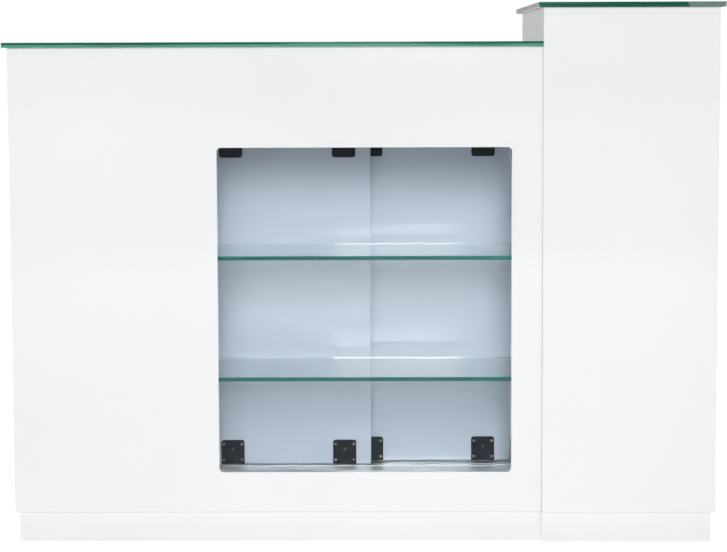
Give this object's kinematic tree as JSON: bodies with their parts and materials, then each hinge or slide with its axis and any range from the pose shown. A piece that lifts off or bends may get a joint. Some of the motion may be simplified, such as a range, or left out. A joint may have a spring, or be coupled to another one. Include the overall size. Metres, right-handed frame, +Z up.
{
  "type": "checkout counter",
  "caption": "Two-height glass-topped checkout counter with a glazed display bay, glass shelves, sliding rear doors, drawers and a till cupboard.",
  "frame": {"origin": "on the floor, below the centre of the counter's box", "axes": "+X along the counter towards the till unit, -Y towards the customer, +Z up"},
  "size_m": [1.4, 0.6, 1.06],
  "materials": {
    "gloss_white": "white high-gloss lacquered board",
    "carcass_white": "white melamine-faced board",
    "top_glass": "clear float glass, green polished edge",
    "shelf_glass": "clear float glass, green polished edge",
    "window_glass": "clear float glass",
    "door_gloss": "pale blue-grey high-gloss lacquered board",
    "black_plastic": "moulded black plastic, fine texture",
    "nylon": "off-white nylon",
    "steel": "zinc-plated steel",
    "dark_steel": "black-zinc-plated steel",
    "nickel": "satin nickel plate",
    "aluminium": "anodised aluminium",
    "drawer_wood": "clear-lacquered birch",
    "bead_plastic": "white extruded plastic"
  },
  "bodies": {
    "carcass": {"bay_divider": "carcass_white", "bottom_track": "aluminium", "display_ceiling": "carcass_white", "display_right_lining": "carcass_white", "hinge_frame_leaves": "steel", "hinge_pins": "steel", "left_bay_deck": "carcass_white", "left_bay_shelf": "carcass_white", "low_bottom_panel": "gloss_white", "low_front_panel": "gloss_white", "low_glass_top": "top_glass", "low_left_side": "gloss_white", "low_plinth_back": "gloss_white", "low_plinth_ends": "gloss_white", "low_plinth_front": "gloss_white", "low_right_side": "carcass_white", "low_top_panel": "carcass_white", "lower_glass_shelf": "shelf_glass", "shelf_pins": "steel", "small_drawer_battens": "drawer_wood", "tall_bottom_panel": "carcass_white", "tall_front_panel": "gloss_white", "tall_glass_top": "top_glass", "tall_left_side": "gloss_white", "tall_plinth_back": "gloss_white", "tall_plinth_ends": "gloss_white", "tall_plinth_front": "gloss_white", "tall_right_side": "gloss_white", "tall_shelf": "carcass_white", "tall_top_board": "gloss_white", "top_track": "aluminium", "upper_glass_shelf": "shelf_glass", "wide_drawer_battens": "drawer_wood", "window_beads": "bead_plastic", "window_glass": "window_glass"},
    "left_door": {"left_sliding_door": "door_gloss", "left_door_finger_pull": "nickel", "left_door_roller_housings": "black_plastic", "left_door_top_guides": "black_plastic", "left_door_axles": "steel", "left_door_screws": "dark_steel"},
    "right_door": {"right_sliding_door": "door_gloss", "right_door_finger_pull": "nickel", "right_door_roller_housings": "black_plastic", "right_door_top_guides": "black_plastic", "right_door_axles": "steel", "right_door_screws": "dark_steel"},
    "left_wheel_a": {"left_door_wheel_a": "nylon"},
    "left_wheel_b": {"left_door_wheel_b": "nylon"},
    "right_wheel_a": {"right_door_wheel_a": "nylon"},
    "right_wheel_b": {"right_door_wheel_b": "nylon"},
    "small_drawer": {"small_drawer_front": "gloss_white", "small_drawer_box": "drawer_wood", "small_drawer_knob": "nickel"},
    "wide_drawer": {"wide_drawer_front": "gloss_white", "wide_drawer_box": "drawer_wood", "wide_drawer_knobs": "nickel"},
    "cupboard_door": {"cupboard_door": "gloss_white", "cupboard_knob": "nickel", "hinge_door_leaves": "steel"}
  },
  "joints": [
    {"name": "left_door_slide", "type": "slide", "parent": "carcass", "child": "left_door", "axis": [1, 0, 0], "range_m": [0, 0.299]},
    {"name": "right_door_slide", "type": "slide", "parent": "carcass", "child": "right_door", "axis": [-1, 0, 0], "range_m": [0, 0.299]},
    {"name": "small_drawer_slide", "type": "slide", "parent": "carcass", "child": "small_drawer", "axis": [0, 1, 0], "range_m": [0, 0.3]},
    {"name": "wide_drawer_slide", "type": "slide", "parent": "carcass", "child": "wide_drawer", "axis": [0, 1, 0], "range_m": [0, 0.3]},
    {"name": "cupboard_hinge", "type": "hinge", "parent": "carcass", "child": "cupboard_door", "pos_m": [0.6705, 0.2533, 0.554], "axis": [0, 0, -1], "range_deg": [0, 110]},
    {"name": "left_wheel_a_spin", "type": "hinge", "parent": "left_door", "child": "left_wheel_a", "pos_m": [-0.285, 0.076, 0.0848], "axis": [0, 1, 0], "range_deg": [0, 1714]},
    {"name": "left_wheel_b_spin", "type": "hinge", "parent": "left_door", "child": "left_wheel_b", "pos_m": [-0.044, 0.076, 0.0848], "axis": [0, 1, 0], "range_deg": [0, 1714]},
    {"name": "right_wheel_a_spin", "type": "hinge", "parent": "right_door", "child": "right_wheel_a", "pos_m": [0.014, 0.11, 0.0848], "axis": [0, -1, 0], "range_deg": [0, 1714]},
    {"name": "right_wheel_b_spin", "type": "hinge", "parent": "right_door", "child": "right_wheel_b", "pos_m": [0.255, 0.11, 0.0848], "axis": [0, -1, 0], "range_deg": [0, 1714]}
  ],
  "couplings": [
    {"joint": "left_wheel_a_spin", "follows": "left_door_slide", "rad_per_m": 100},
    {"joint": "left_wheel_b_spin", "follows": "left_door_slide", "rad_per_m": 100},
    {"joint": "right_wheel_a_spin", "follows": "right_door_slide", "rad_per_m": 100},
    {"joint": "right_wheel_b_spin", "follows": "right_door_slide", "rad_per_m": 100}
  ]
}
